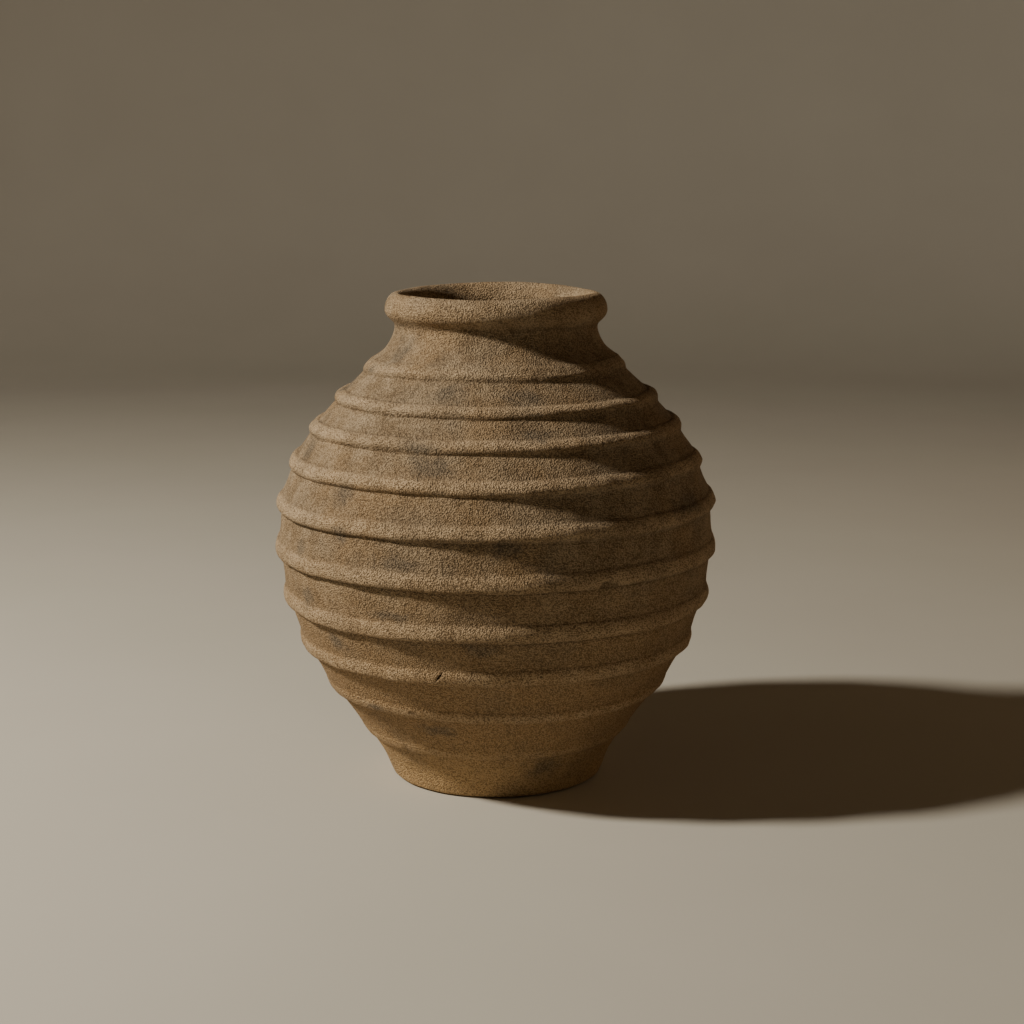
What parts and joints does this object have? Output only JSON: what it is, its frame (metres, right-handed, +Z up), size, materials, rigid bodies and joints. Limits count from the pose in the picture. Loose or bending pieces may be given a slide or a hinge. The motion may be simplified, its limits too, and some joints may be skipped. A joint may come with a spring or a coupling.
{
  "type": "vase",
  "caption": "Round-bellied unglazed stoneware vase with raised bands round its wall, a short neck and a rolled rim, for stems or display.",
  "frame": {"origin": "middle of the foot, on the surface that the vase stands on", "axes": "+Z up along the vase's axis, from the foot to the mouth; -Y is the side that is seen from the front"},
  "size_m": [0.3696, 0.3696, 0.41],
  "materials": {
    "foot_clay": "unglazed, matt, coarse grog, warm ochre",
    "wall_clay": "unglazed, matt, coarse grog, smoky brown",
    "band_clay": "unglazed, matt, coarse grog, dusty crests",
    "rim_clay": "unglazed, matt, coarse grog, dusty"
  },
  "bodies": {
    "root": {"floor_disc": "foot_clay", "wall_course_01": "foot_clay", "wall_course_02": "wall_clay", "wall_course_03": "wall_clay", "wall_course_04": "wall_clay", "wall_course_05": "wall_clay", "wall_course_06": "wall_clay", "wall_course_07": "wall_clay", "wall_course_08": "wall_clay", "wall_course_09": "wall_clay", "wall_course_10": "wall_clay", "wall_course_11": "wall_clay", "seam_band_01": "band_clay", "seam_band_02": "band_clay", "seam_band_03": "band_clay", "seam_band_04": "band_clay", "seam_band_05": "band_clay", "seam_band_06": "band_clay", "seam_band_07": "band_clay", "seam_band_08": "band_clay", "seam_band_09": "band_clay", "seam_band_10": "band_clay", "rolled_rim": "rim_clay"}
  },
  "joints": []
}
